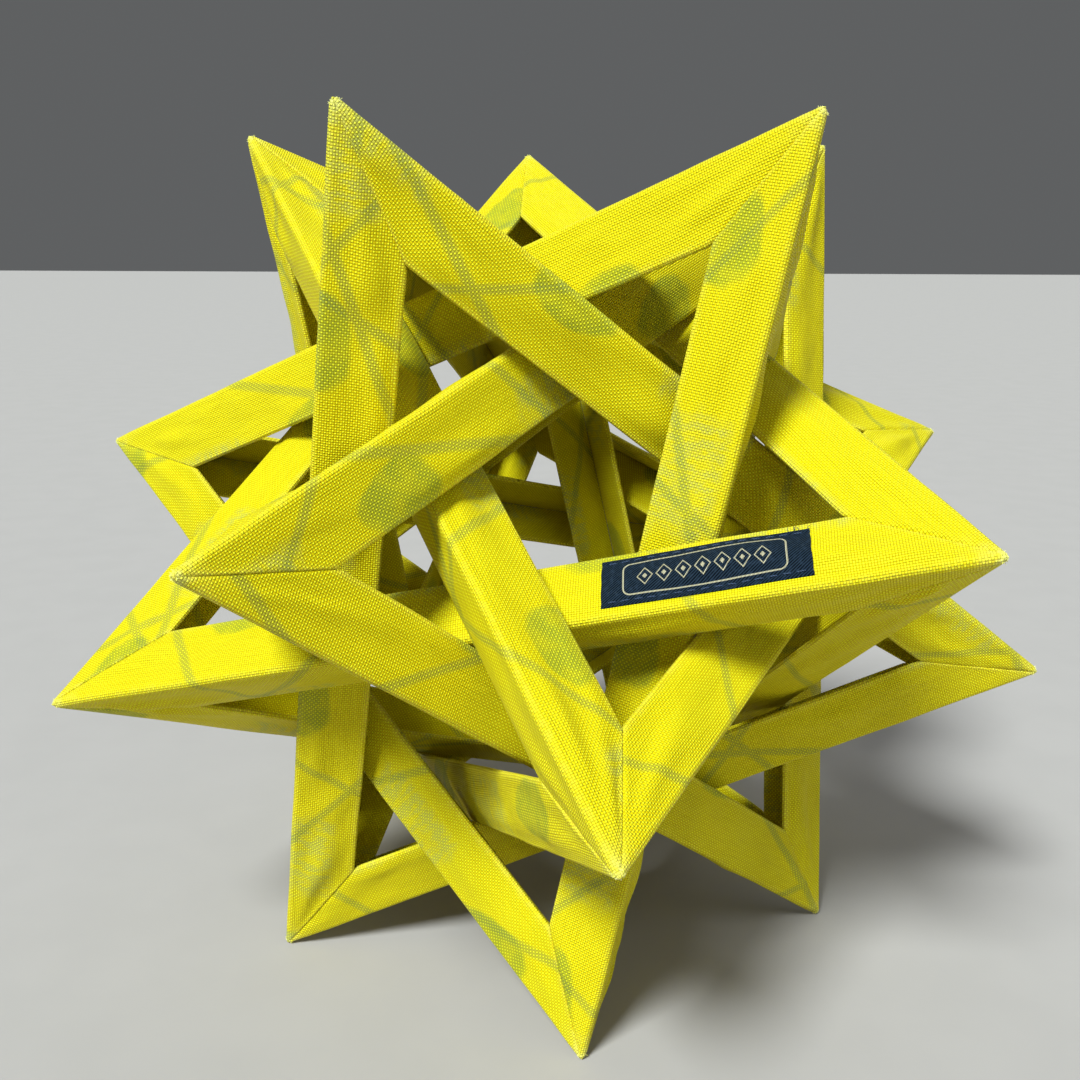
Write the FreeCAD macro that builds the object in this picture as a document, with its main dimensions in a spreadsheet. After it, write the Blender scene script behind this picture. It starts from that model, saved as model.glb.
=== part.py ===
"""Woven star of five interlocking tetrahedral frames, folded from yellow cloth.

Each frame is a regular tetrahedron of six struts. A strut is a V-shaped beam: one strip of cloth folded
round a scored card stiffener, with its raw edges meeting in the valley of the V. The outer sides of the V
lie in two faces of the tetrahedron, and both ends are mitred to meet the two neighbours at the corner. At
each mitre one strut pushes a tab of cloth into the open pocket of the other. The five frames pass through
each other's windows and nothing else holds them. Their twenty tips are the corners of a dodecahedron that
stands on one of its faces, so five tips are on the floor. A woven label is sewn to one strut.

Units are millimetres. +Z is up, the front is towards -Y, and the origin is on the floor under the centre.
A strut is drawn with the star's centre at the origin, its ridge along X and above the centre, and is then
turned to its place.
"""

import FreeCAD, Part

import itertools
import math
import os

import Sketcher
from FreeCAD import Placement, Rotation, Vector

DRIVING_SIZES = [
    ("edge_length", 220.0, "a tetrahedron's edge, along the sharp line of a strut's ridge"),
    ("strut_clearance", 0.3, "gap, along a wall, where struts of two frames cross"),
    ("cloth_thickness", 0.45, "one layer of cloth"),
    ("board_thickness", 0.6, "card stiffener"),
    ("board_clearance", 0.05, "between the card and each layer of cloth"),
    ("ridge_radius", 1.5, "outside of the fold along a strut's ridge"),
    ("slit_width", 0.6, "between the cloth's raw edges in the valley"),
    ("mitre_gap", 0.1, "between two struts at a mitre"),
    ("tab_reach", 7.5, "how far a tab goes into the neighbour's pocket"),
    ("tab_root", 3.0, "how far a tab is sewn back into its own strut"),
    ("tab_base", 14.0, "length of a tab along the mitre"),
    ("tab_taper", 3.5, "how much a tab narrows at each side"),
    ("tab_setback", 2.4, "from the mitre's inner corner to the tab, along the mitre"),
    ("tab_clearance", 0.8, "between a tab and the card it points at"),
    ("label_length", 44.0, "woven label"),
    ("label_width", 12.5, "woven label"),
    ("label_thickness", 0.5, "woven label"),
    ("label_from_tip", 59.5, "from the strut's sharp tip to the label's middle"),
    ("stitch_length", 2.0, "label thread"),
    ("stitch_width", 0.35, "label thread"),
    ("stitch_height", 0.15, "how far a stitch stands on the label"),
    ("stitch_inset", 0.9, "from the label's long edge to a row of stitches"),
    ("stitch_end", 1.6, "from the label's short edge to the first stitch"),
]
STITCHES_PER_ROW = 15
SHEET = "dims"

# Derived sizes, as expressions on the sheet's cells. A wall is as wide as the crossings leave room for:
# sharp struts of no thickness would touch at TOUCHING_WIDTH, and a rounded ridge gives some room back.
CLOTH = "dims.cloth_thickness"
WALL = f"(2*{CLOTH}+dims.board_thickness+2*dims.board_clearance)"
TOUCHING_WIDTH = "(dims.edge_length*(3-sqrt(5))*sqrt(3)/16)"
ROUNDED_RIDGE_ROOM = "(dims.ridge_radius*(sqrt(3)-1)/2)"
WIDTH = f"({TOUCHING_WIDTH}-{WALL}/2+{ROUNDED_RIDGE_ROOM}-dims.strut_clearance)"
RIDGE_HEIGHT = "(dims.edge_length/(2*sqrt(2)))"
FOLD_ALONG = f"({WIDTH}-{WALL}/2)"
RIDGE_ALONG = "(dims.ridge_radius*sqrt(2))"
BOARD_OUT = f"({CLOTH}+dims.board_clearance)"
BOARD_IN = f"({BOARD_OUT}+dims.board_thickness)"
LABEL_ALONG = f"(({RIDGE_ALONG}+{FOLD_ALONG})/2)"
LABEL_MIDDLE = "(dims.edge_length/2-dims.label_from_tip)"

# A strut's walls leave its ridge at this angle from the plane of symmetry.
HALF_ANGLE = math.degrees(math.asin(1 / math.sqrt(3)))
SIN_HALF = "(1/sqrt(3))"
COS_HALF = "sqrt(2/3)"
RIDGE_CENTRE = ("0", f"({RIDGE_HEIGHT}-dims.ridge_radius*sqrt(3))")

FRAMES = "abcde"
FRAME_TURN = 360 / len(FRAMES)
CORNERS = ("top", "upper", "lower", "bottom")
STRUTS = tuple(itertools.combinations(CORNERS, 2))
LABEL_FRAME = "d"
LABEL_STRUT = ("lower", "upper")

LINE = None
CLOCKWISE = -1
ANTICLOCKWISE = 1


def add_sheet(doc):
    sheet = doc.addObject("Spreadsheet::Sheet", SHEET)
    centre_height = ("centre_height", 0.0, "the star's centre above the floor, set by its lowest point")
    for row, (alias, value, meaning) in enumerate(DRIVING_SIZES + [centre_height], start=1):
        sheet.set(f"A{row}", alias)
        sheet.set(f"B{row}", str(value))
        sheet.set(f"C{row}", meaning)
        sheet.setAlias(f"B{row}", alias)
    doc.recompute()
    return sheet


# ---------------------------------------------------------------- sketches


def origin_feature(body, role):
    return next(f for f in body.Origin.OriginFeatures if f.Role == role)


def add_sketch(body, name, role, base=("0", "0", "0"), rotation=Rotation()):
    """A sketch on one of the body's own planes, turned by a rotation and moved by expressions."""
    sketch = body.newObject("Sketcher::SketchObject", name)
    sketch.AttachmentSupport = [(origin_feature(body, role), "")]
    sketch.MapMode = "FlatFace"
    sketch.AttachmentOffset = Placement(Vector(), rotation)
    for axis, expression in zip("xyz", base):
        if expression != "0":
            sketch.setExpression(f"AttachmentOffset.Base.{axis}", expression)
    return sketch


def evaluate(sketch, expression):
    result = sketch.evalExpression(expression)
    return float(getattr(result, "Value", result))


def bind(sketch, kind, geometry, point, expression):
    """Ties one coordinate of a point to an expression on the sheet."""
    value = evaluate(sketch, expression)
    index = sketch.addConstraint(Sketcher.Constraint(kind, -1, 1, geometry, point, value))
    sketch.setExpression(f"Constraints[{index}]", expression)


def add_arc(sketch, start, end, centre, turn):
    """Returns the arc's index and its own numbers for the start and the end point."""
    first, last = (start, end) if turn == ANTICLOCKWISE else (end, start)
    angles = [math.atan2(p.y - centre.y, p.x - centre.x) for p in (first, last)]
    if angles[1] < angles[0]:
        angles[1] += 2 * math.pi
    circle = Part.Circle(centre, Vector(0, 0, 1), (start - centre).Length)
    geometry = sketch.addGeometry(Part.ArcOfCircle(circle, *angles))
    return (geometry, 1, 2) if turn == ANTICLOCKWISE else (geometry, 2, 1)


def draw_loop(sketch, path):
    """Draws a closed loop. path is a list of (x, y, edge): a point's coordinates as expressions, and the
    edge that leaves it, which is LINE or an arc as (centre x, centre y, turn)."""
    points = [Vector(evaluate(sketch, x), evaluate(sketch, y), 0) for x, y, _ in path]
    edges = []
    for start, end, (_, _, edge) in zip(points, points[1:] + points[:1], path):
        if edge is LINE:
            edges.append((sketch.addGeometry(Part.LineSegment(start, end)), 1, 2))
        else:
            centre = Vector(evaluate(sketch, edge[0]), evaluate(sketch, edge[1]), 0)
            edges.append(add_arc(sketch, start, end, centre, edge[2]))
    for i, (x, y, edge) in enumerate(path):
        geometry, start, _ = edges[i]
        before, _, before_end = edges[i - 1]
        sketch.addConstraint(Sketcher.Constraint("Coincident", before, before_end, geometry, start))
        bind(sketch, "DistanceX", geometry, start, x)
        bind(sketch, "DistanceY", geometry, start, y)
        if edge is not LINE:
            bind(sketch, "DistanceY", geometry, 3, edge[1])


def draw_polygon(sketch, corners):
    draw_loop(sketch, [(x, y, LINE) for x, y in corners])


def draw_rectangle(sketch, x_low, x_high, y_low, y_high):
    draw_polygon(sketch, [(x_low, y_low), (x_high, y_low), (x_high, y_high), (x_low, y_high)])


def section_point(along, inward, side=1):
    """A point of a strut's section: along a wall from the sharp ridge, then inward from its outer side."""
    y = f"({side}*(({along})*{SIN_HALF}-({inward})*{COS_HALF}))"
    z = f"({RIDGE_HEIGHT}-({along})*{COS_HALF}-({inward})*{SIN_HALF})"
    return y, z


def mirrored(half):
    """The loop made of one side's points and their mirror image. half is a list of (along, inward, edge),
    where edge is LINE, ("ridge", turn) or ("fold", turn) and the last one crosses to the other side."""

    def edge_at(edge, side):
        if edge is LINE:
            return LINE
        centre = RIDGE_CENTRE if edge[0] == "ridge" else section_point(FOLD_ALONG, f"{WALL}/2", side)
        return (*centre, edge[1])

    closing = ("ridge", CLOCKWISE)
    path = [(*section_point(along, inward), edge_at(edge, 1)) for along, inward, edge in half]
    edges_back = [closing] + [edge for _, _, edge in half[:-1]]
    for (along, inward, _), edge in reversed(list(zip(half, edges_back))):
        path.append((*section_point(along, inward, -1), edge_at(edge, -1)))
    return path


# ---------------------------------------------------------------- features of a strut


def mitre_sketch(body, setback_plus, setback_minus):
    """Everything past the two mitres of the strut's +X end, seen along the line from the star's centre to
    the tip. The setbacks are those of the +Y wall and the -Y wall."""
    facing_the_tip = Rotation(Vector(0, 1, 0), 90 - HALF_ANGLE)
    sketch = add_sketch(body, f"{body.Name}_mitres", "XY_Plane", rotation=facing_the_tip)
    x = f"(-({setback_plus}+{setback_minus})/sqrt(3))"
    y = f"({setback_minus}-{setback_plus})"
    reach = f"(2*{WIDTH})"
    draw_polygon(
        sketch,
        [
            (x, y),
            (f"({x}-{reach}/2)", f"({y}-{reach}*sqrt(3)/2)"),
            (reach, f"({y}-{reach}*sqrt(3)/2)"),
            (reach, f"({y}+{reach}*sqrt(3)/2)"),
            (f"({x}-{reach}/2)", f"({y}+{reach}*sqrt(3)/2)"),
        ],
    )
    return sketch


def wall_sketch(body, name, depth):
    """A sketch parallel to the +Y wall, at a depth below its outer side, looking from outside. Its origin
    is under the middle of the tetrahedron's face, and its x runs along the strut."""
    height = f"(dims.edge_length/(2*sqrt(6))-({depth}))"
    base = ("0", f"({height}*{COS_HALF})", f"({height}*{SIN_HALF})")
    return add_sketch(body, name, "XY_Plane", base, Rotation(Vector(1, 0, 0), HALF_ANGLE - 90))


def wall_height(along):
    """Wall-sketch y of a point, from its distance along the wall from the ridge."""
    return f"(({along})-dims.edge_length/(2*sqrt(3)))"


def mitre_point(along, across):
    """Wall-sketch coordinates of a point near the -X end, along the mitre from the tip and then across it
    into the neighbour."""
    x = f"(-dims.edge_length/2+({along})*sqrt(3)/2-({across})/2)"
    return x, wall_height(f"({along})/2+({across})*sqrt(3)/2")


def pad(body, name, sketch, length):
    feature = body.newObject("PartDesign::Pad", name)
    feature.Profile = sketch
    feature.setExpression("Length", length)
    return feature


def add_section(body, path):
    sketch = add_sketch(body, f"{body.Name}_section", "YZ_Plane")
    draw_loop(sketch, path)
    strut = pad(body, f"{body.Name}_strut", sketch, "dims.edge_length")
    strut.SideType = "Symmetric"


def add_mitres(body, setback_plus, setback_minus):
    """Cuts the +X end; the pattern that repeats it at the other end is added by the caller."""
    sketch = mitre_sketch(body, setback_plus, setback_minus)
    cut = body.newObject("PartDesign::Pocket", f"{body.Name}_cut")
    cut.Profile = sketch
    cut.SideType = "Two sides"
    cut.Type = "ThroughAll"
    cut.Type2 = "ThroughAll"
    return cut


def add_turns(body, name, axis, count):
    pattern = body.newObject("PartDesign::PolarPattern", f"{body.Name}_{name}")
    pattern.Axis = axis
    pattern.Angle = 360
    pattern.Occurrences = count
    return pattern


def repeat_at_both_ends(body, feature):
    pattern = add_turns(body, f"{feature.Name}_twice", (origin_feature(body, "Z_Axis"), [""]), 2)
    pattern.Originals = [feature]
    body.Tip = pattern


# ---------------------------------------------------------------- pieces


def add_body(doc, label):
    body = doc.addObject("PartDesign::Body", label)
    body.Label = label
    body.AllowCompound = True
    return body


def add_cover(doc, label):
    """A strut's cloth: one strip folded at the ridge and at both edges, and a tab at each end."""
    body = add_body(doc, label)
    inner = f"({WALL}-{CLOTH})"

    def slit(inward):
        return f"((dims.slit_width/2+({inward})*{COS_HALF})/{SIN_HALF})"

    half = [
        (RIDGE_ALONG, "0", LINE),
        (FOLD_ALONG, "0", ("fold", CLOCKWISE)),
        (FOLD_ALONG, WALL, LINE),
        (slit(WALL), WALL, LINE),
        (slit(inner), inner, LINE),
        (FOLD_ALONG, inner, ("fold", ANTICLOCKWISE)),
        (FOLD_ALONG, CLOTH, LINE),
        (RIDGE_ALONG, CLOTH, ("ridge", ANTICLOCKWISE)),
    ]
    add_section(body, mirrored(half))
    setback = "dims.mitre_gap/2"
    repeat_at_both_ends(body, add_mitres(body, setback, setback))

    end = f"(2*{WIDTH}-dims.tab_setback)"
    start = f"({end}-dims.tab_base)"
    sketch = wall_sketch(body, f"{body.Name}_tab_outline", inner)
    draw_polygon(
        sketch,
        [
            mitre_point(start, "-dims.tab_root"),
            mitre_point(end, "-dims.tab_root"),
            mitre_point(end, "0"),
            mitre_point(f"{end}-dims.tab_taper", "dims.tab_reach"),
            mitre_point(f"{start}+dims.tab_taper", "dims.tab_reach"),
            mitre_point(start, "0"),
        ],
    )
    repeat_at_both_ends(body, pad(body, f"{body.Name}_tab", sketch, CLOTH))
    return body


def add_boards(doc, label):
    """The six scored cards of one frame, drawn as one and repeated by the tetrahedron's symmetry."""
    body = add_body(doc, label)
    end = f"({FOLD_ALONG}-dims.board_clearance)"
    add_section(
        body,
        mirrored(
            [
                (RIDGE_ALONG, BOARD_OUT, LINE),
                (end, BOARD_OUT, LINE),
                (end, BOARD_IN, LINE),
                (f"({BOARD_IN}*sqrt(2)+dims.board_thickness)", BOARD_IN, LINE),
            ]
        ),
    )
    pocket_side = "(dims.tab_reach+dims.tab_clearance)"
    tab_side = "(dims.tab_root+dims.tab_clearance)"
    cut = add_mitres(body, pocket_side, tab_side)
    repeat_at_both_ends(body, cut)

    pair_axis = body.newObject("PartDesign::Line", f"{body.Name}_pair_axis")
    pair_axis.AttachmentSupport = [(origin_feature(body, "XY_Plane"), "")]
    pair_axis.MapMode = "ObjectX"
    pair_axis.AttachmentOffset = Placement(Vector(), Rotation(Vector(0, 1, 0), 45))
    six = body.newObject("PartDesign::MultiTransform", f"{body.Name}_six")
    six.TransformMode = "Whole shape"
    opposite = add_turns(body, "opposite", (pair_axis, [""]), 2)
    round_the_tip = add_turns(body, "round_the_tip", (cut.Profile[0], ["N_Axis"]), 3)
    six.Transformations = [opposite, round_the_tip]
    body.Tip = six
    return body


def add_label(doc, label):
    body = add_body(doc, label)
    sketch = wall_sketch(body, f"{body.Name}_outline", "0")
    x_low, x_high = (f"({LABEL_MIDDLE}{sign}dims.label_length/2)" for sign in "-+")
    low, high = (f"({LABEL_ALONG}{sign}dims.label_width/2)" for sign in "-+")
    draw_rectangle(sketch, x_low, x_high, wall_height(low), wall_height(high))
    body.Tip = pad(body, f"{body.Name}_cloth", sketch, "dims.label_thickness")
    return body


def add_stitches(doc, label):
    """Two rows of running stitches on the label, one stitch drawn and repeated along and across."""
    body = add_body(doc, label)
    sketch = wall_sketch(body, f"{body.Name}_outline", "-dims.label_thickness")
    x_low = f"({LABEL_MIDDLE}-dims.label_length/2+dims.stitch_end)"
    x_high = f"({x_low}+dims.stitch_length)"
    low = f"({LABEL_ALONG}-dims.label_width/2+dims.stitch_inset)"
    high = f"({low}+dims.stitch_width)"
    draw_rectangle(sketch, x_low, x_high, wall_height(low), wall_height(high))
    stitch = pad(body, f"{body.Name}_thread", sketch, "dims.stitch_height")
    rows = body.newObject("PartDesign::LinearPattern", f"{body.Name}_rows")
    rows.Originals = [stitch]
    rows.Direction = (sketch, ["H_Axis"])
    rows.setExpression("Length", "dims.label_length-2*dims.stitch_end-dims.stitch_length")
    rows.Occurrences = STITCHES_PER_ROW
    rows.Direction2 = (sketch, ["V_Axis"])
    rows.setExpression("Length2", "dims.label_width-2*dims.stitch_inset-dims.stitch_width")
    rows.Occurrences2 = 2
    body.Tip = rows
    return body


# ---------------------------------------------------------------- assembly


def corner_directions(frame_index):
    """Unit vectors from the star's centre to a frame's four tips. The tips of the five frames lie on four
    level rings, five tips to a ring. A ring is given by its height and by frame a's angle from +X."""
    outer, inner = (math.sqrt((5 + sign * 2 * math.sqrt(5)) / 15) for sign in (1, -1))
    rings = {
        "top": (outer, -126),
        "upper": (inner, 90),
        "lower": (-inner, -18),
        "bottom": (-outer, -162),
    }
    directions = {}
    for corner, (height, first_angle) in rings.items():
        angle = math.radians(first_angle + FRAME_TURN * frame_index)
        reach = math.sqrt(1 - height**2)
        directions[corner] = Vector(reach * math.cos(angle), reach * math.sin(angle), height)
    return directions


def place_strut(body, frame, strut):
    """Turns a piece from the drawn strut to one strut of a frame, with +X towards the second corner."""
    corners = corner_directions(FRAMES.index(frame))
    first, second = (corners[corner] for corner in strut)
    along = (second - first).normalize()
    outward = (first + second).normalize()
    body.Placement = Placement(Vector(), Rotation(along, outward.cross(along), outward))
    body.setExpression("Placement.Base.z", f"{SHEET}.centre_height")


def build(doc):
    pieces = []
    for frame in FRAMES:
        for strut in STRUTS:
            cover = add_cover(doc, f"frame_{frame}_cover_{strut[0]}_{strut[1]}")
            place_strut(cover, frame, strut)
            pieces.append(cover)
        boards = add_boards(doc, f"frame_{frame}_boards")
        place_strut(boards, frame, STRUTS[0])
        pieces.append(boards)
    for piece in (add_label(doc, "woven_label"), add_stitches(doc, "label_stitches")):
        place_strut(piece, LABEL_FRAME, LABEL_STRUT)
        pieces.append(piece)
    return pieces


def stand_on_floor(doc, sheet, pieces):
    """Raises the star until its lowest point is on the floor."""
    doc.recompute()
    at_the_floor = [piece for piece in pieces if "bottom" in piece.Label]
    lowest = min(piece.Shape.optimalBoundingBox(False).ZMin for piece in at_the_floor)
    sheet.set(sheet.getCellFromAlias("centre_height"), str(-lowest))
    doc.recompute()


def write_steps(doc, pieces):
    faulty = [o.Label for o in doc.Objects if {"Invalid", "Error"} & set(o.State)]
    faulty += [p.Label for p in pieces if p.Shape.isNull() or not p.Shape.isValid()]
    if faulty:
        raise RuntimeError("not built: " + ", ".join(faulty))
    os.makedirs("parts", exist_ok=True)
    for piece in pieces:
        piece.Shape.exportStep(f"parts/{piece.Label}.step")


def main():
    doc = FreeCAD.newDocument("five_tetrahedra_star")
    sheet = add_sheet(doc)
    pieces = build(doc)
    stand_on_floor(doc, sheet, pieces)
    write_steps(doc, pieces)


main()
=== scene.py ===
"""The folded cloth star: cloth struts, tip fraying, sewn label, its stitches, and the studio."""

import itertools
import math

import bpy
import numpy as np
from mathutils import Euler, Matrix, Vector


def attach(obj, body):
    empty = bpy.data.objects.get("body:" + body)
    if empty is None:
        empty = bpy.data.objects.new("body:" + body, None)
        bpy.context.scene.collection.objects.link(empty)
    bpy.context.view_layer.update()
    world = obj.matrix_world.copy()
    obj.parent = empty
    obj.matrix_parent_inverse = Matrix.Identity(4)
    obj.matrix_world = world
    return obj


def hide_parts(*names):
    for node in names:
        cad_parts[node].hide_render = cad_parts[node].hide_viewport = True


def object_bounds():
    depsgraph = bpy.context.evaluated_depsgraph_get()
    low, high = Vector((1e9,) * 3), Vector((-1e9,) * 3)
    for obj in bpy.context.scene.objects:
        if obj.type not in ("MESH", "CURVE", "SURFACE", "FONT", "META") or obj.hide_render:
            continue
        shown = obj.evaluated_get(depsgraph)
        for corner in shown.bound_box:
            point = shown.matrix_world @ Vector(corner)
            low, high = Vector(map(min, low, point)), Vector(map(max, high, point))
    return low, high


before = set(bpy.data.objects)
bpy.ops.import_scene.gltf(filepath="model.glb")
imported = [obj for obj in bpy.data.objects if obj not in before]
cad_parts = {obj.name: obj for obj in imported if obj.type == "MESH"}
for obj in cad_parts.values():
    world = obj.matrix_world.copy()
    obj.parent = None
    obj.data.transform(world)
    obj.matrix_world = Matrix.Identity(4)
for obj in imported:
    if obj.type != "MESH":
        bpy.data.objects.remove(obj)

cad_box = [list(corner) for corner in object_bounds()]

MM = 0.001

# ---------------------------------------------------------------- the star's sizes, in millimetres

EDGE = 220.0  # a strut's ridge, from tip to tip
CLOTH = 0.45
WALL = 1.6  # two layers of cloth with the card between them
RIDGE_R = 1.5
SLIT = 0.6  # between the raw edges, down in the valley
MITRE_GAP = 0.1
STRUT_CLEARANCE = 0.3
# The width at which thin, sharp walls would just touch other frames' walls, and the real width.
TOUCHING_WIDTH = EDGE * (3 - math.sqrt(5)) * math.sqrt(3) / 16
WIDTH = TOUCHING_WIDTH - WALL / 2 + RIDGE_R * (math.sqrt(3) - 1) / 2 - STRUT_CLEARANCE
RIDGE_HEIGHT = EDGE / (2 * math.sqrt(2))
FOLD_ALONG = WIDTH - WALL / 2
RIDGE_ALONG = RIDGE_R * math.sqrt(2)
SIN_HALF, COS_HALF = 1 / math.sqrt(3), math.sqrt(2 / 3)
CENTRE_HEIGHT = (cad_box[1][2] - cad_box[0][2]) / 2 / MM

LABEL_LENGTH, LABEL_WIDTH = 44.0, 12.5
LABEL_X = EDGE / 2 - 59.5  # the label's middle is 59.5 from the strut's tip
LABEL_SEAM = LABEL_WIDTH / 2 - 1.08  # from the label's middle to a row of stitches
LABEL_ALONG = (RIDGE_ALONG + FOLD_ALONG) / 2
LABEL_FRAME, LABEL_STRUT = "d", ("lower", "upper")

FRAMES = "abcde"
CORNERS = ("top", "upper", "lower", "bottom")


def corner_directions(frame_index):
    """Unit vectors from the star's centre to a frame's four tips."""
    outer, inner = (math.sqrt((5 + sign * 2 * math.sqrt(5)) / 15) for sign in (1, -1))
    rings = {
        "top": (outer, -126),
        "upper": (inner, 90),
        "lower": (-inner, -18),
        "bottom": (-outer, -162),
    }
    directions = {}
    for corner, (height, first_angle) in rings.items():
        angle = math.radians(first_angle + 72 * frame_index)
        reach = math.sqrt(1 - height**2)
        directions[corner] = Vector((reach * math.cos(angle), reach * math.sin(angle), height))
    return directions


def strut_matrix(frame_letter, strut):
    """Turns the drawn strut, with its ridge along X and above the star's centre, to its place."""
    corners = corner_directions(FRAMES.index(frame_letter))
    first, second = (corners[corner] for corner in strut)
    along = (second - first).normalized()
    outward = (first + second).normalized()
    turn = Matrix((along, outward.cross(along), outward)).transposed().to_4x4()
    return Matrix.Translation((0, 0, CENTRE_HEIGHT * MM)) @ turn


# ---------------------------------------------------------------- meshes


SHARP_ANGLE = math.radians(55)


def smoothstep(low, high, x):
    """0 below low, 1 above high, and a smooth step between them."""
    t = np.clip((x - low) / (high - low), 0, 1)
    return t * t * (3 - 2 * t)


def grid_faces(rows, columns, start=0, flip=False):
    """Quads of a rows x columns grid of points."""
    r, c = np.meshgrid(np.arange(rows - 1), np.arange(columns - 1), indexing="ij")
    a = start + r * columns + c
    quads = np.stack([a, a + 1, a + columns + 1, a + columns], axis=-1).reshape(-1, 4)
    return quads[:, ::-1] if flip else quads


def rim_faces(rows, columns, offset):
    """Quads that close the gap between a grid and its copy that starts offset points later."""
    grid = np.arange(rows * columns).reshape(rows, columns)
    loop = np.concatenate([grid[0, :-1], grid[:-1, -1], grid[-1, :0:-1], grid[:0:-1, 0]])
    after = np.roll(loop, -1)
    return np.stack([loop, loop + offset, after + offset, after], axis=-1)


def to_world(points, matrix):
    """Points in millimetres, placed by a matrix and given in metres."""
    world = np.array(matrix)
    return np.asarray(points, float) * MM @ world[:3, :3].T + world[:3, 3]


def add_piece(name, mesh, material):
    """An object for a mesh, riding on the star's one body."""
    mesh.materials.append(material)
    piece = bpy.data.objects.new(name, mesh)
    bpy.context.scene.collection.objects.link(piece)
    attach(piece, "root")
    return piece


def thin_sheet(name, layers, uv, matrix, material, wear=None):
    """A closed sheet from its upper and lower layers, which are grids of points in millimetres.
    uv, in millimetres, and wear are given once for both layers."""
    rows, columns = layers[0].shape[:2]
    count = rows * columns
    points = np.concatenate([layer.reshape(-1, 3) for layer in layers])
    faces = np.concatenate(
        [
            grid_faces(rows, columns, flip=True),
            grid_faces(rows, columns, start=count),
            rim_faces(rows, columns, count),
        ]
    )
    mesh = bpy.data.meshes.new(name)
    mesh.from_pydata(to_world(points, matrix).tolist(), [], faces.tolist())
    corners = np.empty(len(mesh.loops), np.int32)
    mesh.loops.foreach_get("vertex_index", corners)
    both_uv = np.concatenate([uv.reshape(-1, 2)] * 2) * MM
    layer = mesh.uv_layers.new(name="cloth")
    layer.uv.foreach_set("vector", np.asarray(both_uv, np.float32)[corners].ravel())
    if wear is not None:
        both_wear = np.concatenate([wear.ravel()] * 2).astype(np.float32)
        mesh.attributes.new("wear", "FLOAT", "POINT").data.foreach_set("value", both_wear)
    mesh.shade_smooth()
    mesh.set_sharp_from_angle(angle=SHARP_ANGLE)
    return add_piece(name, mesh, material)


class Ripple:
    """A smooth random surface, about 1 high, made of a few plane waves of lengths from shortest to
    longest. A spread under a right angle turns their crests towards x."""

    def __init__(self, rng, shortest, longest, spread=math.pi / 2):
        count = 9
        self.length = np.exp(rng.uniform(math.log(shortest), math.log(longest), count))
        self.angle = math.pi / 2 + rng.uniform(-spread, spread, count)
        self.phase = rng.uniform(0, 2 * math.pi, count)
        self.height = self.length / np.sqrt((self.length**2).sum() / 2)

    def __call__(self, x, y):
        total = np.zeros(np.broadcast(x, y).shape)
        for length, angle, phase, height in zip(self.length, self.angle, self.phase, self.height):
            wave = 2 * math.pi * (x * math.cos(angle) + y * math.sin(angle)) / length
            total += height * np.sin(wave + phase)
        return total


# ---------------------------------------------------------------- a strut's cloth


def section_samples():
    """Points midway through the cloth, across the strip from one raw edge to the other: y, z, the
    outward normal's y and z, the distance along the wall from the ridge, the side, and 1 on the
    outer layer or 0 on the inner one."""
    wall_points, fold_points, ridge_points = 15, 8, 6
    mid = CLOTH / 2
    slit_along = (SLIT / 2 + (WALL - mid) * COS_HALF) / SIN_HALF
    wall_steps = np.linspace(0, 1, wall_points)
    rows = []
    for along in slit_along + (FOLD_ALONG - slit_along) * wall_steps:
        rows.append((along, WALL - mid, 0.0, 1.0, 0))
    for turn in np.linspace(0, math.pi, fold_points)[1:-1]:
        along = FOLD_ALONG + (WALL / 2 - mid) * math.sin(turn)
        inward = WALL / 2 + (WALL / 2 - mid) * math.cos(turn)
        rows.append((along, inward, math.sin(turn), math.cos(turn), 1 - (math.cos(turn) > 0)))
    for along in FOLD_ALONG + (RIDGE_ALONG - FOLD_ALONG) * wall_steps:
        rows.append((along, mid, 0.0, -1.0, 1))
    half = []
    for along, inward, normal_along, normal_inward, outer in rows:
        y = along * SIN_HALF - inward * COS_HALF
        z = RIDGE_HEIGHT - along * COS_HALF - inward * SIN_HALF
        ny = normal_along * SIN_HALF - normal_inward * COS_HALF
        nz = -normal_along * COS_HALF - normal_inward * SIN_HALF
        half.append((y, z, ny, nz, along, 1.0, outer))
    slope = math.asin(COS_HALF)
    for turn in np.linspace(slope, 0, ridge_points)[1:]:
        y = (RIDGE_R - mid) * math.sin(turn)
        z = RIDGE_HEIGHT - RIDGE_R * math.sqrt(3) + (RIDGE_R - mid) * math.cos(turn)
        half.append((y, z, math.sin(turn), math.cos(turn), RIDGE_ALONG * turn / slope, 1.0, 1))
    other = [(-y, z, -ny, nz, along, -1.0, outer) for y, z, ny, nz, along, _, outer in half[-2::-1]]
    return np.array(half + other)


SECTION = section_samples()
STRIP = np.concatenate([[0], np.cumsum(np.hypot(np.diff(SECTION[:, 0]), np.diff(SECTION[:, 1])))])
STRIP -= STRIP[-1] / 2
END_STEPS = np.array([0, 0.25, 0.55, 0.9, 1.4, 2.1, 3.1, 4.6, 6.6, 9.0])  # inward from an end
MIDDLE_COLUMNS = 116  # between the two ends' steps
TAB_TUCK, TAB_SINK = 1.6, 0.62  # how far the tab's wall goes under its neighbour, and how deep
POCKET_LAP, HEM_RADIUS, HEM_DROP = 0.25, 0.62, 0.42  # the pocket's lap, and its rolled edge

# How the cloth lies on the card. The heights and lengths are in millimetres.
PUCKER_HEIGHT, PUCKER_LENGTH, PUCKER_REACH = 0.34, 2.3, 7.0
CREASE_GROWS, CREASE_HOLDS, CREASE_FADES = (5, 20), 34, 22  # distances from the tip
OUTSIDE_WAVE, DRAWN_OUT_WAVE, INSIDE_WAVE = 0.26, 0.28, 0.16
DEEPEST, FIRMNESS = -0.04, 14  # how far it may sink, and how suddenly it stops there


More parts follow.
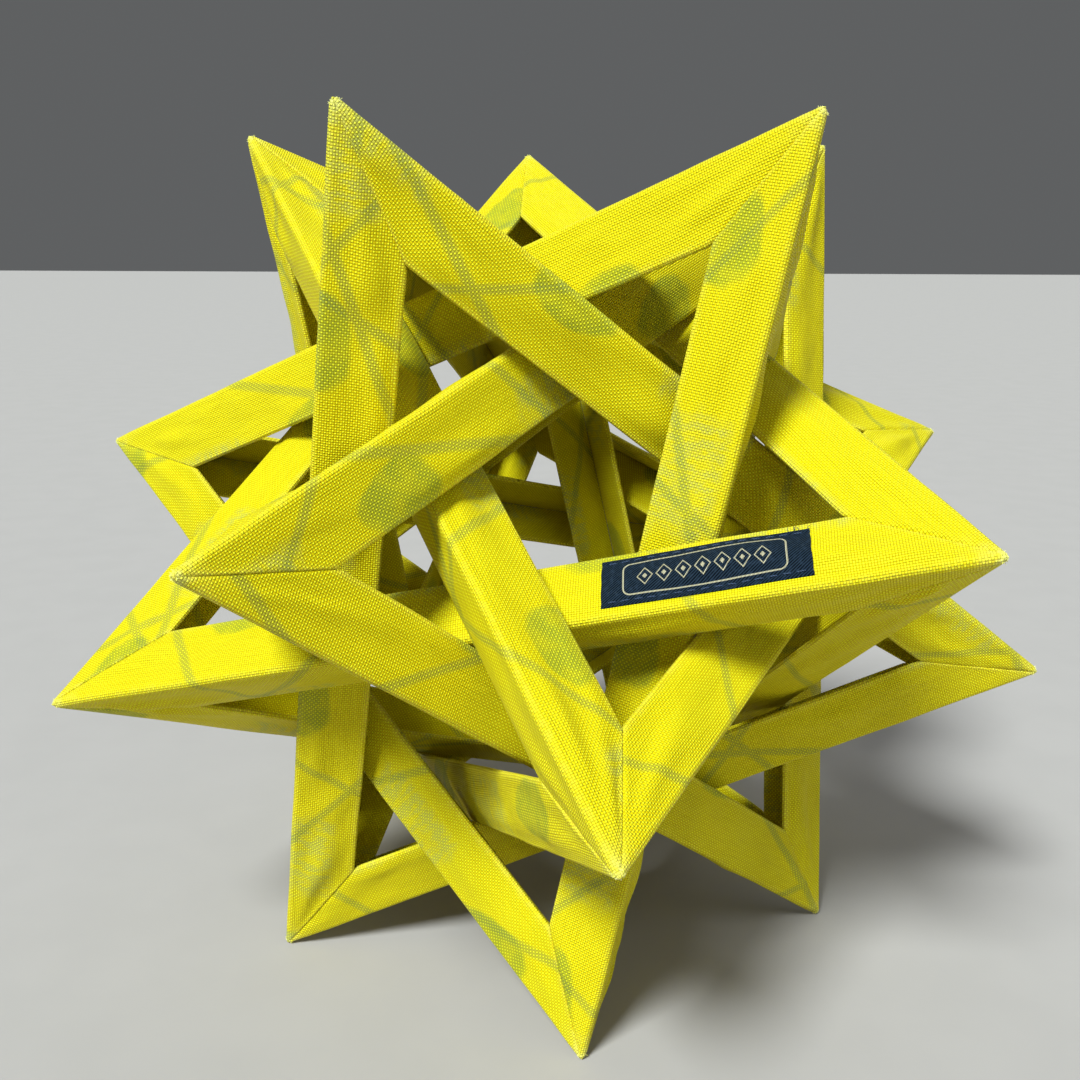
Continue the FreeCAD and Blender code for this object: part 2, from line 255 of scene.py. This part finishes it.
class StrutCloth:
    """How one strut's cloth lies on its flat walls, from a seed of its own."""

    def __init__(self, seed):
        rng = np.random.default_rng(seed)
        self.outside = {side: Ripple(rng, 12, 50) for side in (-1, 1)}
        self.inside = {side: Ripple(rng, 12, 50) for side in (-1, 1)}
        self.drawn_out = {side: Ripple(rng, 9, 24, spread=0.35) for side in (-1, 1)}
        self.pucker_phase = rng.uniform(0, 2 * math.pi, 4)
        self.fullness = rng.uniform(0.3, 0.85, 4)
        self.creases = rng.uniform(13, 24, 4)
        self.crease_height = rng.uniform(0.3, 0.75, 4)

    def offset(self, x, along, side, outer, from_mitre):
        """How far the cloth stands off the flat wall. It sinks no further than the card lets it."""
        across = np.clip((along - RIDGE_ALONG) / (FOLD_ALONG - RIDGE_ALONG), 0, 1)
        pillow = np.sin(math.pi * across) ** 1.2
        free = smoothstep(0.5, 14, from_mitre)
        which = np.where(side > 0, 0, 1) + 2 * (outer < 0.5)
        full = self.fullness[which] * pillow * (0.35 + 0.65 * free)

        # Short puckers along the mitre, and creases that fan out from the tip and fade away.
        near = np.exp(-np.clip(from_mitre, 0, None) / PUCKER_REACH)
        past_tip = EDGE / 2 - np.abs(x)
        from_tip = np.hypot(past_tip, along)
        phase = self.pucker_phase[which] * np.sign(x)
        pucker = PUCKER_HEIGHT * near * pillow * np.sin(from_tip / PUCKER_LENGTH + phase)
        pucker *= smoothstep(0, 2.5, from_mitre)
        fan = np.sin(self.creases[which] * np.arctan2(along, past_tip) + 2 * phase)
        fading = np.exp(-np.clip(from_tip - CREASE_HOLDS, 0, None) / CREASE_FADES)
        present = smoothstep(*CREASE_GROWS, from_tip) * fading
        crease = self.crease_height[which] * fan * present * pillow * smoothstep(0, 3, from_mitre)

        wavy = np.zeros_like(x)
        for s in (-1, 1):
            outer_wave = OUTSIDE_WAVE * self.outside[s](x, along)
            outer_wave += DRAWN_OUT_WAVE * self.drawn_out[s](x, along)
            inner_wave = INSIDE_WAVE * self.inside[s](x, along)
            wavy = np.where(side == s, np.where(outer > 0.5, outer_wave, inner_wave), wavy)
        edge_calm = smoothstep(0, 0.25, across) * smoothstep(1.0, 0.8, across)
        wavy *= (0.25 + 0.75 * edge_calm) * smoothstep(0, 6, from_mitre)
        height = full + pucker + crease + wavy
        return np.logaddexp(FIRMNESS * DEEPEST, FIRMNESS * height) / FIRMNESS


def cover(name, seed, matrix, material):
    """A strut's cloth as a closed thin sheet. At each mitre one wall tucks under its neighbour as
    the tab, and the other laps over its neighbour as the pocket."""
    y, z, ny, nz, along, side, outer = (column[:, None] for column in SECTION.T)
    lie = StrutCloth(seed)
    mitre = math.sqrt(2) * z - np.abs(y)
    is_pocket = {1: side > 0, -1: side < 0}
    blend = smoothstep(1.2, 4.5, along)
    ends = {}
    for end in (1, -1):
        lap = np.where(is_pocket[end], POCKET_LAP, TAB_TUCK) * blend - MITRE_GAP / 2
        ends[end] = lap - END_STEPS[None, :]
    high = mitre + ends[1][:, ::-1]
    low = -(mitre + ends[-1])
    steps = np.linspace(0, 1, MIDDLE_COLUMNS + 2)[None, 1:-1]
    first, last = low[:, -1:], high[:, :1]
    x = np.concatenate([low, first + (last - first) * steps, high], axis=1)
    y, z, ny, nz, along, side, outer = (
        np.broadcast_to(column, x.shape) for column in (y, z, ny, nz, along, side, outer)
    )
    from_mitre = mitre - np.abs(x)
    pocket_here = np.where(x > 0, side > 0, side < 0)
    offset = lie.offset(x, along, side, outer, from_mitre)
    fade = np.broadcast_to(blend, x.shape)
    tuck = -TAB_SINK * (1 - smoothstep(-0.15, 1.1, from_mitre))
    into_hem = np.clip((0.35 - from_mitre) / HEM_RADIUS, 0, 1)
    hem = -HEM_DROP * (1 - np.sqrt(np.clip(1 - into_hem**2, 0, 1)))
    ridge_end = 0.25 * (1 - fade) * (1 - smoothstep(0, 0.9, from_mitre))
    offset = offset + np.where(pocket_here, hem, tuck) * fade - ridge_end
    layers = []
    for depth in (CLOTH / 2, -CLOTH / 2):
        layers.append(np.stack([x, y + ny * (offset + depth), z + nz * (offset + depth)], axis=-1))

    # Each strip shows another place on the cloth, and some are mirrored.
    rng = np.random.default_rng(seed + 900)
    shift = rng.uniform(0, 400, 2)
    turned = rng.choice([-1, 1])
    across_strip = np.broadcast_to(STRIP[:, None], x.shape)
    uv = np.stack([turned * x + shift[0], across_strip + shift[1]], axis=-1)

    # The dye is rubbed off along the folds, the ridge and the laps, and most of all at the tips.
    fold = 0.22 * np.exp(-(((along - WIDTH) / 0.9) ** 2))
    ridge = 0.1 * np.exp(-((along / 1.4) ** 2)) * (outer > 0.5)
    tip = 2.4 * np.exp(-np.clip(EDGE / 2 - np.abs(x), 0, None) / 2.4) * (outer > 0.5)
    seam = 0.2 * np.exp(-np.clip(from_mitre, 0, None) / 0.6)
    wear = np.clip(fold + ridge + tip + seam * pocket_here, 0, 1)
    return thin_sheet(name, layers, uv, matrix, material, wear)


# ---------------------------------------------------------------- threads


def thread(path, radius, sides):
    """Points and faces of a thin closed tube along a path, tapered at both ends."""
    path = np.asarray(path, float)
    tangent = np.gradient(path, axis=0)
    tangent /= np.linalg.norm(tangent, axis=1)[:, None]
    guide = np.array([0.31, 0.87, 0.38])
    first = np.cross(tangent, guide)
    first /= np.linalg.norm(first, axis=1)[:, None]
    second = np.cross(tangent, first)
    taper = np.ones(len(path))
    taper[[0, -1]] = 0.35
    turn = np.linspace(0, 2 * math.pi, sides, endpoint=False)
    cosine, sine = np.cos(turn)[None, :, None], np.sin(turn)[None, :, None]
    ring = cosine * first[:, None] + sine * second[:, None]
    points = (path[:, None] + ring * (radius * taper)[:, None, None]).reshape(-1, 3)
    faces = []
    for i in range(len(path) - 1):
        for k in range(sides):
            a, b = i * sides + k, i * sides + (k + 1) % sides
            faces.append((a, b, b + sides, a + sides))
    faces.append(tuple(range(sides))[::-1])
    faces.append(tuple(range(len(points) - sides, len(points))))
    return points, faces


def add_threads(name, paths, radii, sides, matrix, material):
    """One piece made of a tube along each path. The paths and radii are in millimetres."""
    points, faces, start = [], [], 0
    for path, radius in zip(paths, radii):
        tube_points, tube_faces = thread(path, radius, sides)
        points.append(tube_points)
        faces.extend(tuple(start + i for i in face) for face in tube_faces)
        start += len(tube_points)
    mesh = bpy.data.meshes.new(name)
    mesh.from_pydata(to_world(np.concatenate(points), matrix).tolist(), [], faces)
    mesh.shade_smooth()
    return add_piece(name, mesh, material)


def tip_fray(name, seed, direction, material):
    """The fuzz of broken threads where three struts' cloth meets at a tip, above the floor."""
    rng = np.random.default_rng(seed)
    out = np.array(direction)
    side = np.cross(out, (0.2, 0.5, 0.8))
    side /= np.linalg.norm(side)
    up = np.cross(out, side)
    from_centre = EDGE * math.sqrt(3 / 8)  # to the point where the ridges meet
    root = out * (from_centre - 2.95)
    above_floor = 0.06
    steps = np.linspace(0, 1, 6)[:, None]
    paths, radii = [], []
    for _ in range(80):
        turn, away = rng.uniform(0, 2 * math.pi), math.sqrt(rng.uniform(0, 1))
        lean = side * math.cos(turn) + up * math.sin(turn)
        curl = side * rng.normal(0, 0.16) + up * rng.normal(0, 0.16)
        reach = rng.uniform(0.25, 0.65) * (1.15 - 0.6 * away)
        start = root + lean * away * 0.9 - out * 0.6 * away
        path = start + steps * reach * (out + lean * away * 1.3) + steps**2 * curl
        path[:, 2] = np.maximum(path[:, 2], above_floor - CENTRE_HEIGHT)
        paths.append(path)
        radii.append(rng.uniform(0.035, 0.065))
    centre = Matrix.Translation((0, 0, CENTRE_HEIGHT * MM))
    return add_threads(name, paths, radii, 4, centre, material)


# ---------------------------------------------------------------- materials


class Nodes:
    """A short way to write a material's nodes. Values may be numbers, colours or nodes' outputs."""

    def __init__(self, name):
        self.material = bpy.data.materials.new(name)
        self.material.use_nodes = True
        self.tree = self.material.node_tree
        self.tree.nodes.clear()

    def add(self, kind, inputs=(), **settings):
        node = self.tree.nodes.new(kind)
        for key, value in settings.items():
            setattr(node, key, value)
        for key, value in dict(inputs).items():
            if isinstance(value, bpy.types.NodeSocket):
                self.tree.links.new(value, node.inputs[key])
            else:
                node.inputs[key].default_value = value
        return node

    def math(self, operation, *values):
        return self.add("ShaderNodeMath", enumerate(values), operation=operation).outputs[0]

    def ramp(self, value, low, high, out_low=0.0, out_high=1.0):
        """A smooth step from out_low to out_high as value goes from low to high."""
        inputs = {"Value": value, "From Min": low, "From Max": high}
        inputs.update({"To Min": out_low, "To Max": out_high})
        node = self.add("ShaderNodeMapRange", inputs, interpolation_type="SMOOTHSTEP")
        return node.outputs["Result"]

    def mix(self, factor, first, second):
        """A colour between two: inputs 6 and 7 and output 2 are the mix node's colour sockets."""
        inputs = {"Factor": factor, 6: first, 7: second}
        return self.add("ShaderNodeMix", inputs, data_type="RGBA").outputs[2]

    def noise(self, vector, scale, detail=2.0, roughness=0.5):
        inputs = {"Vector": vector, "Scale": scale, "Detail": detail, "Roughness": roughness}
        return self.add("ShaderNodeTexNoise", inputs).outputs["Fac"]

    def along(self, x, y, angle):
        """The distance along a direction, in the plane of x and y."""
        a = self.math("MULTIPLY", x, math.cos(angle))
        return self.math("MULTIPLY_ADD", y, math.sin(angle), a)

    def from_stripe(self, distance, pitch, shift):
        """The distance from the nearest of a family of parallel lines a pitch apart."""
        turns = self.math("FRACT", self.math("MULTIPLY_ADD", distance, 1 / pitch, shift))
        from_line = self.math("ABSOLUTE", self.math("SUBTRACT", turns, 0.5))
        return self.math("MULTIPLY", from_line, pitch)

    def flat_mm(self, vector):
        """The first two numbers of a vector in metres, in millimetres."""
        metres = self.add("ShaderNodeSeparateXYZ", {"Vector": vector})
        u = self.math("MULTIPLY", metres.outputs["X"], 1000.0)
        v = self.math("MULTIPLY", metres.outputs["Y"], 1000.0)
        return u, v

    def stretched(self, u, v, u_scale, v_scale):
        """A vector for noise that is stretched along u or v."""
        inputs = {"X": self.math("MULTIPLY", u, u_scale), "Y": self.math("MULTIPLY", v, v_scale)}
        return self.add("ShaderNodeCombineXYZ", inputs).outputs["Vector"]

    def bump(self, height, distance, strength=1.0):
        inputs = {"Height": height, "Distance": distance, "Strength": strength}
        return self.add("ShaderNodeBump", inputs).outputs["Normal"]

    def finish(self, **inputs):
        """The material, with a shader whose sockets are named with underscores for spaces."""
        named = {key.replace("_", " "): value for key, value in inputs.items()}
        shader = self.add("ShaderNodeBsdfPrincipled", named)
        output = self.add("ShaderNodeOutputMaterial")
        self.tree.links.new(shader.outputs["BSDF"], output.inputs["Surface"])
        return self.material


def woven(n, x, y, across_pitch, along_pitch):
    """A plain weave at x and y millimetres, for threads that far apart: 1 in the middle of a thread
    that passes over along x, -1 in the middle of one that does along y, and 0 at the gaps."""
    across = n.math("COSINE", n.math("MULTIPLY", x, math.pi / across_pitch))
    along = n.math("COSINE", n.math("MULTIPLY", y, math.pi / along_pitch))
    return n.math("MULTIPLY", across, along)


THREAD_PITCHES = (0.57, 0.53)
PRINT_LINES = (  # angle in radians, millimetres between lines, shift in pitches, half width
    (0.42, 78.0, 0.13, 1.0),
    (-0.66, 91.0, 0.57, 0.85),
    (1.1, 104.0, 0.31, 0.95),
)
PRINT_CELL = (88.0, 41.0)
LEAF_AT, LEAF_HALF = -17.0, (10.5, 6.6)  # from a cell's middle
STREAKS_AT, STREAKS_HALF = (21.0, -2.5), (20.0, 9.0)
LINES_SHOW, LEAF_SHOWS, HAZE_SHOWS = 0.5, 0.78, 0.5


def star_cloth():
    """Stiff yellow woven cloth, with the print of its other side showing through."""
    n = Nodes("star_cloth")
    uv = n.add("ShaderNodeUVMap", uv_map="cloth").outputs["UV"]
    wander = {"Vector": uv, "Scale": 38.0, "Detail": 1.0}
    drift = n.add("ShaderNodeTexNoise", wander).outputs["Color"]
    inputs = {0: drift, 1: (0.0011, 0.0011, 0.0), 2: uv}
    moved = n.add("ShaderNodeVectorMath", inputs, operation="MULTIPLY_ADD").outputs["Vector"]
    u, v = n.flat_mm(moved)

    weave = woven(n, u, v, *THREAD_PITCHES)
    float_height = n.math("SQRT", n.math("ABSOLUTE", weave))
    thread_tone = n.noise(n.stretched(u, v, 0.12, 2.6), 1.0, 1.0)
    cloudy = n.noise(uv, 55.0, 3.0)

    # The print: families of thin lines that cross, leaf-shaped patches and patches of streaks.
    # A leaf and a patch of streaks share each cell of a grid.
    lines = None
    for angle, pitch, shift, width in PRINT_LINES:
        near = n.from_stripe(n.along(u, v, angle + math.pi / 2), pitch, shift)
        mark = n.ramp(near, width + 0.75, width - 0.45)
        lines = mark if lines is None else n.math("MAXIMUM", lines, mark)
    cell_long, cell_wide = PRINT_CELL
    row = n.math("FLOOR", n.math("MULTIPLY", v, 1 / cell_wide))
    cell_u = n.math("MULTIPLY_ADD", row, 0.37, n.math("MULTIPLY", u, 1 / cell_long))
    local_u = n.math("MULTIPLY", n.math("SUBTRACT", n.math("FRACT", cell_u), 0.5), cell_long)
    cell_v = n.math("SUBTRACT", n.math("FRACT", n.math("MULTIPLY", v, 1 / cell_wide)), 0.5)
    local_v = n.math("MULTIPLY", cell_v, cell_wide)
    leaf_u = n.math("MULTIPLY", n.math("SUBTRACT", local_u, LEAF_AT), 1 / LEAF_HALF[0])
    taper = n.math("MULTIPLY_ADD", leaf_u, 0.25, 1.0)
    leaf_v = n.math("MULTIPLY", n.math("MULTIPLY", local_v, taper), 1 / LEAF_HALF[1])
    leaf_u_squared = n.math("MULTIPLY", leaf_u, leaf_u)
    leaf_v_squared = n.math("MULTIPLY", leaf_v, leaf_v)
    leaf_r = n.math("SQRT", n.math("ADD", leaf_u_squared, leaf_v_squared))
    leaf_r = n.math("MULTIPLY_ADD", n.noise(uv, 150.0, 1.0), 0.35, leaf_r)
    patchy = n.ramp(n.noise(uv, 210.0, 2.0), 0.3, 0.65, 0.6, 1.0)
    leaf = n.math("MULTIPLY", n.ramp(leaf_r, 1.26, 1.06), patchy)
    block_u = n.math("ABSOLUTE", n.math("SUBTRACT", local_u, STREAKS_AT[0]))
    block_v = n.math("ABSOLUTE", n.math("SUBTRACT", local_v, STREAKS_AT[1]))
    ragged = n.math("MULTIPLY", n.noise(uv, 130.0, 2.0), 9.0)
    within_u = n.ramp(n.math("ADD", block_u, ragged), STREAKS_HALF[0], STREAKS_HALF[0] - 4.5)
    within_v = n.ramp(block_v, STREAKS_HALF[1], STREAKS_HALF[1] - 3.0)
    block = n.math("MULTIPLY", within_u, within_v)
    streak_noise = n.noise(n.stretched(u, v, 0.55, 0.2), 1.0, 2.0, 0.6)
    haze = n.math("MULTIPLY", block, n.ramp(streak_noise, 0.38, 0.6, 0.15, 1.0))

    # The print is on the other side, so it shows most in the threads that pass under.
    under_floats = n.ramp(weave, 0.55, -0.2, 0.4, 1.0)
    lines = n.math("MULTIPLY", n.math("MULTIPLY", lines, under_floats), LINES_SHOW)
    leaf = n.math("MULTIPLY", n.math("MULTIPLY", leaf, under_floats), LEAF_SHOWS)
    haze = n.math("MULTIPLY", n.math("MULTIPLY", haze, under_floats), HAZE_SHOWS)

    # Threads that pass over along x are painted paler, partly their own paler tone and partly a
    # painted highlight on the floats. The gaps between threads are painted dark orange as painted
    # shade.
    yellow = n.mix(n.ramp(weave, -0.3, 0.55), (0.73, 0.59, 0.0, 1), (0.98, 0.96, 0.02, 1))
    yellow = n.mix(n.ramp(float_height, 0.25, 0.7), (0.56, 0.39, 0.0, 1), yellow)
    yellow = n.mix(n.ramp(thread_tone, 0.3, 0.7, 0.0, 0.25), yellow, (0.97, 0.9, 0.015, 1))
    yellow = n.mix(n.ramp(cloudy, 0.35, 0.75, 0.0, 0.16), yellow, (0.74, 0.56, 0.0, 1))
    colour = n.mix(haze, yellow, (0.36, 0.42, 0.13, 1))
    colour = n.mix(leaf, colour, (0.25, 0.31, 0.03, 1))
    colour = n.mix(lines, colour, (0.2, 0.25, 0.06, 1))
    wear = n.add("ShaderNodeAttribute", attribute_name="wear").outputs["Fac"]
    worn = n.math("MULTIPLY", wear, n.ramp(n.noise(uv, 420.0, 2.0), 0.35, 0.65, 0.2, 0.75))
    colour = n.mix(worn, colour, (0.93, 0.92, 0.3, 1))

    height = n.math("MULTIPLY_ADD", weave, 0.45, float_height)
    height = n.math("MULTIPLY_ADD", n.ramp(thread_tone, 0.2, 0.8), 0.2, height)
    normal = n.bump(height, 0.00022, 1.0)
    roughness = n.ramp(float_height, 0.3, 0.9, 0.8, 0.42)
    return n.finish(
        Base_Color=colour,
        Roughness=roughness,
        Normal=normal,
        Specular_IOR_Level=0.3,
        Specular_Tint=(1.0, 0.93, 0.25, 1),
        Sheen_Weight=0.06,
        Sheen_Roughness=0.4,
        Sheen_Tint=(1.0, 0.95, 0.2, 1),
    )


def object_mm(n):
    """The object coordinates in millimetres, as a vector and its three numbers."""
    inputs = {0: n.add("ShaderNodeTexCoord").outputs["Object"], "Scale": 1000.0}
    scaled = n.add("ShaderNodeVectorMath", inputs, operation="SCALE").outputs["Vector"]
    split = n.add("ShaderNodeSeparateXYZ", {"Vector": scaled})
    return scaled, split.outputs["X"], split.outputs["Y"], split.outputs["Z"]


def fray_fibre():
    """Pale yellow fibre, uneven in colour."""
    n = Nodes("fray_fibre")
    vector, *_ = object_mm(n)
    uneven = n.ramp(n.noise(vector, 1.7, 2.0), 0.35, 0.65)
    colour = n.mix(uneven, (0.94, 0.9, 0.12, 1), (0.95, 0.94, 0.45, 1))
    return n.finish(Base_Color=colour, Roughness=0.7, Sheen_Weight=0.2)


def card_core():
    """Grey-brown card with fine fibres."""
    n = Nodes("card_core")
    vector, *_ = object_mm(n)
    fibres = n.noise(vector, 1.3, 6.0, 0.7)
    colour = n.mix(n.ramp(fibres, 0.35, 0.7), (0.42, 0.36, 0.24, 1), (0.62, 0.55, 0.4, 1))
    return n.finish(Base_Color=colour, Roughness=0.9, Normal=n.bump(fibres, 0.00005, 0.6))


LOZENGE_PITCH, LOZENGE_ROW_HALF = 4.1, 14.35


def label_cloth():
    """Navy damask with a woven cream frame round a row of lozenges."""
    n = Nodes("label_cloth")
    uv = n.add("ShaderNodeUVMap", uv_map="cloth").outputs["UV"]
    u, v = n.flat_mm(uv)
    twill = n.math("SINE", n.math("MULTIPLY", n.along(u, v, 0.93), 2 * math.pi / 0.5))
    picks = n.math("COSINE", n.math("MULTIPLY", u, 2 * math.pi / 0.26))
    surface = n.math("MULTIPLY_ADD", picks, 0.35, twill)

    # The frame is the line that far from a rectangle's rounded corner centres.
    half_u, half_v, corner = 17.0, 4.0, 1.6
    over_u = n.math("MAXIMUM", n.math("SUBTRACT", n.math("ABSOLUTE", u), half_u - corner), 0.0)
    over_v = n.math("MAXIMUM", n.math("SUBTRACT", n.math("ABSOLUTE", v), half_v - corner), 0.0)
    squares = n.math("ADD", n.math("MULTIPLY", over_u, over_u), n.math("MULTIPLY", over_v, over_v))
    from_frame = n.math("ABSOLUTE", n.math("SUBTRACT", n.math("SQRT", squares), corner))
    frame_line = n.ramp(from_frame, 0.22, 0.13)
    lozenge_u = n.from_stripe(u, LOZENGE_PITCH, 0.5)
    size = n.math("ADD", n.math("MULTIPLY", lozenge_u, 1.25), n.math("ABSOLUTE", v))
    outline = n.ramp(n.math("ABSOLUTE", n.math("SUBTRACT", size, 2.05)), 0.25, 0.14)
    centre = n.ramp(size, 0.75, 0.6)
    row_end = n.ramp(n.math("ABSOLUTE", u), LOZENGE_ROW_HALF + 0.05, LOZENGE_ROW_HALF - 0.05)
    motif = n.math("MULTIPLY", n.math("MAXIMUM", outline, centre), row_end)
    stepped = n.ramp(picks, -0.9, -0.3, 0.55, 1.0)
    cream = n.math("MULTIPLY", n.math("MAXIMUM", frame_line, motif), stepped)

    # The low parts of the twill are painted near black, as painted shade in its grooves.
    navy = n.mix(n.ramp(surface, -0.6, 1.1), (0.001, 0.003, 0.008, 1), (0.019, 0.041, 0.08, 1))
    flecks = n.ramp(n.noise(uv, 900.0, 2.0), 0.45, 0.75, 0.0, 0.4)
    navy = n.mix(flecks, navy, (0.034, 0.06, 0.115, 1))
    cream_thread = n.mix(n.ramp(picks, -0.5, 1.0), (0.5, 0.44, 0.3, 1), (0.82, 0.76, 0.6, 1))
    colour = n.mix(cream, navy, cream_thread)
    height = n.math("MULTIPLY_ADD", cream, 1.3, surface)
    return n.finish(
        Base_Color=colour,
        Roughness=n.ramp(cream, 0.0, 1.0, 0.72, 0.4),
        Normal=n.bump(height, 0.00012, 1.0),
        Specular_IOR_Level=0.1,
    )


def label_thread():
    """Twisted navy thread."""
    n = Nodes("label_thread")
    _, x, y, z = object_mm(n)
    diagonal = n.math("ADD", n.math("ADD", x, y), z)
    twist = n.math("SINE", n.math("MULTIPLY", diagonal, 2 * math.pi / 0.45))
    # The lighter stripes on the twist's crests are painted glints.
    colour = n.mix(n.ramp(twist, -0.6, 0.8), (0.008, 0.016, 0.04, 1), (0.05, 0.09, 0.2, 1))
    return n.finish(
        Base_Color=colour,
        Roughness=0.55,
        Normal=n.bump(twist, 0.00004, 0.8),
        Specular_IOR_Level=0.3,
    )


def floor_card():
    """Plain pale floor. Its tint cancels the lamps', so that it looks grey."""
    n = Nodes("floor")
    vector = n.add("ShaderNodeTexCoord").outputs["Object"]
    grain = n.noise(vector, 40.0, 4.0)
    colour = n.mix(n.ramp(grain, 0.3, 0.7), (0.38, 0.352, 0.38, 1), (0.39, 0.361, 0.39, 1))
    return n.finish(Base_Color=colour, Roughness=0.9)


# ---------------------------------------------------------------- the label and its stitches


WALL_OUT = np.array([0.0, COS_HALF, SIN_HALF])


def label_points(u, v, lie):
    """Points on the flat wall under the label, and how far the cloth stands off there. u is along
    the label from its middle, and v is across it towards the ridge."""
    x = LABEL_X + u
    along = LABEL_ALONG - v
    y = along * SIN_HALF
    z = RIDGE_HEIGHT - along * COS_HALF
    from_mitre = math.sqrt(2) * z - y - np.abs(x)
    offset = lie.offset(x, along, np.ones_like(x), np.ones_like(x), from_mitre)
    return np.stack([x, y, z], axis=-1), offset


def label_sheet(matrix, material, lie):
    """The label as a thin closed sheet with hot-cut, slightly toothed ends and soft long edges."""
    columns, rows = 150, 34
    tooth_depth, tooth_pitch = 0.16, 0.42
    underside, thickness, edge_drop = 0.07, 0.40, 0.16
    s, t = np.meshgrid(np.linspace(-1, 1, columns), np.linspace(-1, 1, rows))
    v = np.sign(t) * (1 - (1 - np.abs(t)) ** 1.25) * LABEL_WIDTH / 2
    tooth = tooth_depth * np.abs(np.sin(v / tooth_pitch * math.pi)) * np.abs(s) ** 18
    reach = LABEL_LENGTH / 2 - tooth
    u = np.sign(s) * (1 - (1 - np.abs(s)) ** 1.15) * reach
    base, offset = label_points(u, v, lie)
    waves = Ripple(np.random.default_rng(41), 4, 16)(u, v)
    edge = np.clip(np.minimum(LABEL_WIDTH / 2 - np.abs(v), reach - np.abs(u)), 0, None)
    seam = np.exp(-(((np.abs(v) - LABEL_SEAM) / 0.42) ** 2))
    top = thickness + 0.035 * waves - 0.15 * seam - edge_drop * np.exp(-edge / 0.16)
    bottom = np.full_like(top, underside)
    layers = [base + WALL_OUT * (offset + height)[..., None] for height in (top, bottom)]
    return thin_sheet("label_sheet", layers, np.stack([u, v], axis=-1), matrix, material)


def label_stitching(matrix, material, lie):
    """Two rows of running stitches that pull the label down, and a few loose ends at one corner."""
    rng = np.random.default_rng(7)
    paths, radii = [], []
    stitch, count, from_end = 2.0, 15, 1.6
    stitch_radius, loose_radius = 0.18, 0.05
    span = LABEL_LENGTH - 2 * from_end - stitch
    for edge in (-1, 1):
        for i in range(count):
            start = -span / 2 - stitch / 2 + span * i / (count - 1) + rng.normal(0, 0.05)
            u = np.linspace(start, start + stitch, 7)
            slant = np.linspace(-0.06, 0.06, 7) * rng.normal(0, 1)
            v = np.full(7, edge * LABEL_SEAM) + slant
            rise = 0.2 * np.sin(np.linspace(0, math.pi, 7)) ** 0.5
            base, offset = label_points(u, v, lie)
            paths.append(base + WALL_OUT * (offset + 0.2 + rise)[:, None])
            radii.append(stitch_radius)
    for _ in range(6):
        u0 = LABEL_LENGTH / 2 - rng.uniform(0.3, 4.6)
        steps = np.linspace(0, 1, 7)
        u = u0 + steps * rng.normal(0, 0.7)
        v = 0.1 - LABEL_WIDTH / 2 - steps * rng.uniform(0.5, 1.4)
        base, offset = label_points(u, v, lie)
        lift = 0.15 + 0.4 * np.sin(steps * math.pi * 0.8)
        paths.append(base + WALL_OUT * (offset + lift)[:, None])
        radii.append(loose_radius)
    return add_threads("label_threads", paths, radii, 5, matrix, material)


# ---------------------------------------------------------------- putting it together


def build_star():
    cloth = star_cloth()
    fibre = fray_fibre()
    board = card_core()
    seed = 100
    for index, letter in enumerate(FRAMES):
        for strut in itertools.combinations(CORNERS, 2):
            seed += 1
            node = f"frame_{letter}_cover_{strut[0]}_{strut[1]}"
            is_label_strut = letter == LABEL_FRAME and set(strut) == set(LABEL_STRUT)
            drawn = LABEL_STRUT if is_label_strut else strut
            matrix = strut_matrix(letter, drawn)
            piece = cover(f"cloth_{letter}_{strut[0]}_{strut[1]}", seed, matrix, cloth)
            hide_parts(node)
            if is_label_strut:
                add_label(matrix, StrutCloth(seed))
        for k, (corner, direction) in enumerate(corner_directions(index).items()):
            tuft = tip_fray(f"fray_{letter}_{corner}", 500 + 10 * index + k, direction, fibre)
        set_material(f"frame_{letter}_boards", board)


def add_label(matrix, lie):
    sheet = label_sheet(matrix, label_cloth(), lie)
    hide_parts("woven_label")
    stitches = label_stitching(matrix, label_thread(), lie)
    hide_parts("label_stitches")


def set_material(node, material):
    for slot in bpy.data.objects[node].material_slots:
        slot.material = material


def build_studio():
    """A plain floor, a weak sky, a soft key lamp from the upper left and two very soft ones."""
    bpy.ops.mesh.primitive_plane_add(size=14, location=(0, 0, 0))
    floor = bpy.context.object
    floor.name = "floor"
    floor.data.materials.append(floor_card())

    scene = bpy.context.scene
    scene.view_settings.view_transform = "Standard"
    world = bpy.data.worlds.new("studio")
    world.use_nodes = True
    background = world.node_tree.nodes["Background"]
    background.inputs["Color"].default_value = (0.95, 0.98, 1.0, 1)
    background.inputs["Strength"].default_value = 0.12
    scene.world = world
    centre = Vector((0, 0, CENTRE_HEIGHT * MM))
    for name, place, width, strength in (
        ("key", (-0.42, -0.52, 0.95), 18, 5.1),
        ("fill", (0.5, -0.9, 0.5), 70, 0.55),
        ("back", (0.2, 0.75, 0.9), 70, 0.6),
    ):
        light = bpy.data.lights.new(name, "SUN")
        light.angle = math.radians(width)
        light.energy = strength
        light.color = (0.91, 1.0, 0.9)
        lamp = bpy.data.objects.new(name, light)
        lamp.location = place
        lamp.rotation_euler = (centre - lamp.location).to_track_quat("-Z", "Y").to_euler()
        scene.collection.objects.link(lamp)


def build_camera():
    """A telephone's main camera, held close."""
    data = bpy.data.cameras.new("camera")
    data.sensor_width = 36
    data.lens = 37.37
    data.shift_x = -0.0253
    data.shift_y = 0.0965
    data.clip_start = 0.01
    camera = bpy.data.objects.new("camera", data)
    camera.location = (-0.0278, -0.2989, 0.0802 + CENTRE_HEIGHT * MM)
    camera.rotation_euler = Euler([math.radians(a) for a in (70.222, -0.370, -6.038)])
    bpy.context.scene.collection.objects.link(camera)
    bpy.context.scene.camera = camera


build_star()
build_studio()
build_camera()
